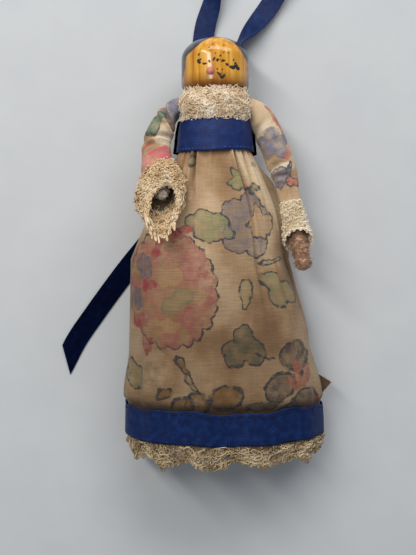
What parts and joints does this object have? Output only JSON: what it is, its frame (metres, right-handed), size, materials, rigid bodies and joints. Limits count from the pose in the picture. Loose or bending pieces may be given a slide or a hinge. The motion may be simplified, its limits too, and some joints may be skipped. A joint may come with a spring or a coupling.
{
  "type": "clothespin sachet doll",
  "caption": "Doll on a turned wooden clothespin in a printed cotton dress with lace, navy ribbon sash and hem, bendable stem arms, ribbon hanger and a scented bag under the skirt.",
  "frame": {"origin": "on the table under the flat back of the skirt, on the peg's centre line", "axes": "+Y from hem to head along the peg, +Z out of the doll's front, +X to the viewer's right when facing the doll's front"},
  "size_m": [0.081, 0.1633, 0.0316],
  "materials": {
    "varnished_wood": "glossy amber varnish over turned hardwood",
    "pink_enamel": "raised drop of enamel",
    "chenille_pile": "fuzzy pile on twisted wire",
    "printed_cotton": "plain weave with a floral print",
    "cream_lace": "cotton lace",
    "navy_ribbon": "ribbed woven ribbon",
    "muslin": "loose plain weave",
    "dried_flowers": "loose dried petals",
    "sewing_thread": "cotton thread"
  },
  "bodies": {
    "doll": {"peg": "varnished_wood", "cheek_bead": "pink_enamel", "neck_wrap": "chenille_pile", "bodice": "printed_cotton", "lace_yoke": "cream_lace", "skirt": "printed_cotton", "skirt_corner": "printed_cotton", "waist_thread": "sewing_thread", "sash_ribbon": "navy_ribbon", "hem_ribbon": "navy_ribbon", "hem_lace": "cream_lace", "sachet_bag": "muslin", "sachet_filling": "dried_flowers", "bag_tie": "sewing_thread", "hanger_ribbon": "navy_ribbon", "hanger_knot": "navy_ribbon", "left_ribbon_tail": "navy_ribbon", "right_ribbon_tail": "navy_ribbon"},
    "right_upper_arm": {"right_upper_stem": "chenille_pile", "right_upper_sleeve": "printed_cotton"},
    "right_forearm": {"right_fore_stem": "chenille_pile", "right_lower_sleeve": "printed_cotton", "right_cuff_lace": "cream_lace"},
    "left_upper_arm": {"left_upper_stem": "chenille_pile", "left_upper_sleeve": "printed_cotton"},
    "left_forearm": {"left_fore_stem": "chenille_pile", "left_lower_sleeve": "printed_cotton", "left_cuff_lace": "cream_lace"}
  },
  "joints": [
    {"name": "right_shoulder", "type": "hinge", "parent": "doll", "child": "right_upper_arm", "pos_m": [0.0129, 0.0547, 0.013], "axis": [0, 0, 1], "range_deg": [0, 75]},
    {"name": "right_elbow", "type": "hinge", "parent": "right_upper_arm", "child": "right_forearm", "pos_m": [0.02019, 0.0378, 0.013], "axis": [-0.9819, -0.1895, 0], "range_deg": [0, 60]},
    {"name": "left_shoulder", "type": "hinge", "parent": "doll", "child": "left_upper_arm", "pos_m": [-0.0129, 0.0547, 0.013], "axis": [0, 0, 1], "range_deg": [-75, 0]},
    {"name": "left_elbow", "type": "hinge", "parent": "left_upper_arm", "child": "left_forearm", "pos_m": [-0.01744, 0.0437, 0.016], "axis": [-0.9869, -0.1614, 0], "range_deg": [0, 45]}
  ]
}
